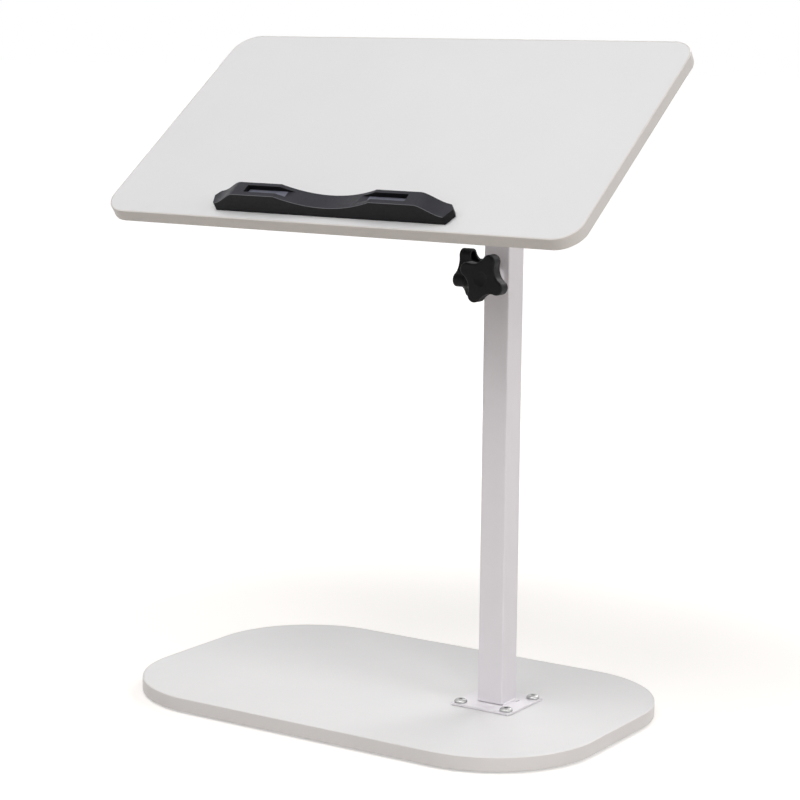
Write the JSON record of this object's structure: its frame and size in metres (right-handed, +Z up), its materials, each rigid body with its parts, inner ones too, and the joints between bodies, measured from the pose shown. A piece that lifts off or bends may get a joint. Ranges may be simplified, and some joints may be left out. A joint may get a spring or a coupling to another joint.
{
  "type": "tilting side table",
  "caption": "Side table with a round-cornered floor board, one offset square telescopic column with star-knob clamps, and a tilting top with a stop ledge.",
  "frame": {"origin": "on the floor, under the middle of the base board", "axes": "+X to the right along the long side of the boards, +Y away from the user, +Z up"},
  "size_m": [0.58, 0.35, 0.7159],
  "materials": {
    "white_board": "white laminated particle board, satin",
    "white_edge": "white plastic edge band, satin",
    "white_paint": "white powder coat, semi-gloss",
    "black_plastic": "moulded black, fine grain",
    "zinc": "zinc plated",
    "brass": "turned",
    "nylon": "natural nylon",
    "rubber": "dull black"
  },
  "bodies": {
    "stand": {"foot_pad_1": "rubber", "foot_pad_2": "rubber", "foot_pad_3": "rubber", "foot_pad_4": "rubber", "base_board": "white_board", "base_edge_band": "white_edge", "base_insert_nut_1": "brass", "base_insert_nut_2": "brass", "base_insert_nut_3": "brass", "base_insert_nut_4": "brass", "flange_plate": "white_paint", "flange_screw_1": "zinc", "flange_screw_2": "zinc", "flange_screw_3": "zinc", "flange_screw_4": "zinc", "tube_weld_left": "white_paint", "tube_weld_right": "white_paint", "outer_tube": "white_paint", "guide_collar": "black_plastic", "front_boss": "white_paint", "side_boss": "white_paint"},
    "front_clamp": {"front_pad": "nylon"},
    "front_clamp_knob": {"front_stud": "zinc", "front_knob": "black_plastic"},
    "side_clamp": {"side_pad": "nylon"},
    "side_clamp_knob": {"side_stud": "zinc", "side_knob": "black_plastic"},
    "mast": {"inner_tube": "white_paint", "inner_tube_plug": "black_plastic", "hinge_fork": "white_paint", "friction_washer_left": "nylon", "friction_washer_right": "nylon", "pivot_bolt": "zinc"},
    "tilt_clamp": {"tilt_washer": "zinc"},
    "tilt_clamp_knob": {"tilt_knob": "black_plastic"},
    "top": {"tilt_bracket": "white_paint", "spacer_sleeve": "zinc", "bracket_screw_1": "zinc", "bracket_screw_2": "zinc", "bracket_screw_3": "zinc", "bracket_screw_4": "zinc", "top_board": "white_board", "top_edge_band": "white_edge", "ledge": "black_plastic", "ledge_screw_1": "zinc", "ledge_screw_2": "zinc"}
  },
  "joints": [
    {"name": "height_slide", "type": "slide", "parent": "stand", "child": "mast", "axis": [0, 0, 1], "range_m": [-0.0481, 0.28]},
    {"name": "top_tilt", "type": "hinge", "parent": "mast", "child": "top", "pos_m": [0.1265, 0.006, 0.5911], "axis": [1, 0, 0], "range_deg": [-36, 24]},
    {"name": "front_clamp_travel", "type": "slide", "parent": "stand", "child": "front_clamp", "axis": [0, -1, 0], "range_m": [0, 0.0025]},
    {"name": "front_knob_turn", "type": "hinge", "parent": "front_clamp", "child": "front_clamp_knob", "pos_m": [0.1265, -0.009, 0.4754], "axis": [0, -1, 0], "range_deg": [0, 720]},
    {"name": "side_clamp_travel", "type": "slide", "parent": "stand", "child": "side_clamp", "axis": [-1, 0, 0], "range_m": [0, 0.0025]},
    {"name": "side_knob_turn", "type": "hinge", "parent": "side_clamp", "child": "side_clamp_knob", "pos_m": [0.1115, 0.006, 0.4754], "axis": [-1, 0, 0], "range_deg": [0, 720]},
    {"name": "tilt_clamp_travel", "type": "slide", "parent": "mast", "child": "tilt_clamp", "axis": [1, 0, 0], "range_m": [0, 0.00125]},
    {"name": "tilt_knob_turn", "type": "hinge", "parent": "tilt_clamp", "child": "tilt_clamp_knob", "pos_m": [0.1441, 0.006, 0.5911], "axis": [1, 0, 0], "range_deg": [0, 360]}
  ],
  "couplings": [
    {"joint": "front_clamp_travel", "follows": "front_knob_turn", "m_per_rad": 0.00019894},
    {"joint": "side_clamp_travel", "follows": "side_knob_turn", "m_per_rad": 0.00019894},
    {"joint": "tilt_clamp_travel", "follows": "tilt_knob_turn", "m_per_rad": 0.00019894}
  ]
}
